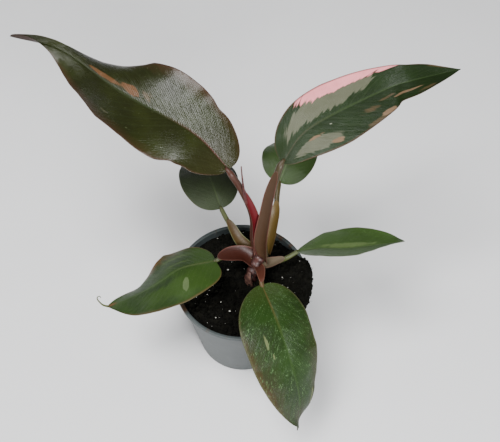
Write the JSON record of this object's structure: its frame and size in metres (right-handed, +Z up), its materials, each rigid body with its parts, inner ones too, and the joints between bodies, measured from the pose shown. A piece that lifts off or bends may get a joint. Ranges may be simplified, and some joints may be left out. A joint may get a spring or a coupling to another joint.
{
  "type": "potted philodendron",
  "caption": "Young variegated philodendron with long pointed leaves on sheathed stalks, rooted in soil in a small round tapered plastic nursery pot.",
  "frame": {"origin": "middle of the pot's underside, on the surface that it stands on", "axes": "+Z up along the pot's axis, +X along the widest spread of the leaves, +Y towards the side that the two tall leaves lean to"},
  "size_m": [0.2836, 0.1977, 0.1918],
  "materials": {
    "pot_plastic": "thin moulded plastic, satin",
    "potting_soil": "dark crumbly peat, matte",
    "stem_skin": "smooth red-brown skin, satin",
    "dried_sheath": "dry papery sheath, matte",
    "new_leaf_skin": "dark red, glossy",
    "variegated_leaf": "dark green with pink, cream and salmon patches, glossy",
    "green_leaf": "green with pale speckles, glossy",
    "red_stalk": "crimson and olive-brown skin, satin",
    "green_stalk": "green to brown skin, satin",
    "root": "pale, matte",
    "perlite": "white, porous, matte"
  },
  "bodies": {
    "root": {"pot": "pot_plastic", "soil": "potting_soil", "stem": "stem_skin", "old_sheath": "dried_sheath", "new_leaf": "new_leaf_skin", "leaf_upper_left": "variegated_leaf", "leaf_upper_right": "variegated_leaf", "leaf_left": "green_leaf", "leaf_front": "green_leaf", "leaf_right": "green_leaf", "leaf_back_left": "green_leaf", "leaf_back_right": "green_leaf", "stalk_upper_left": "red_stalk", "stalk_upper_right": "red_stalk", "stalk_left": "green_stalk", "stalk_front": "green_stalk", "stalk_right": "green_stalk", "stalk_back_left": "green_stalk", "stalk_back_right": "green_stalk", "root_1": "root", "root_2": "root", "root_3": "root", "root_4": "root", "root_5": "root", "root_6": "root", "perlite_1": "perlite", "perlite_2": "perlite", "perlite_3": "perlite", "perlite_4": "perlite", "perlite_5": "perlite", "perlite_6": "perlite", "perlite_7": "perlite", "perlite_8": "perlite", "perlite_9": "perlite", "perlite_10": "perlite"}
  },
  "joints": []
}
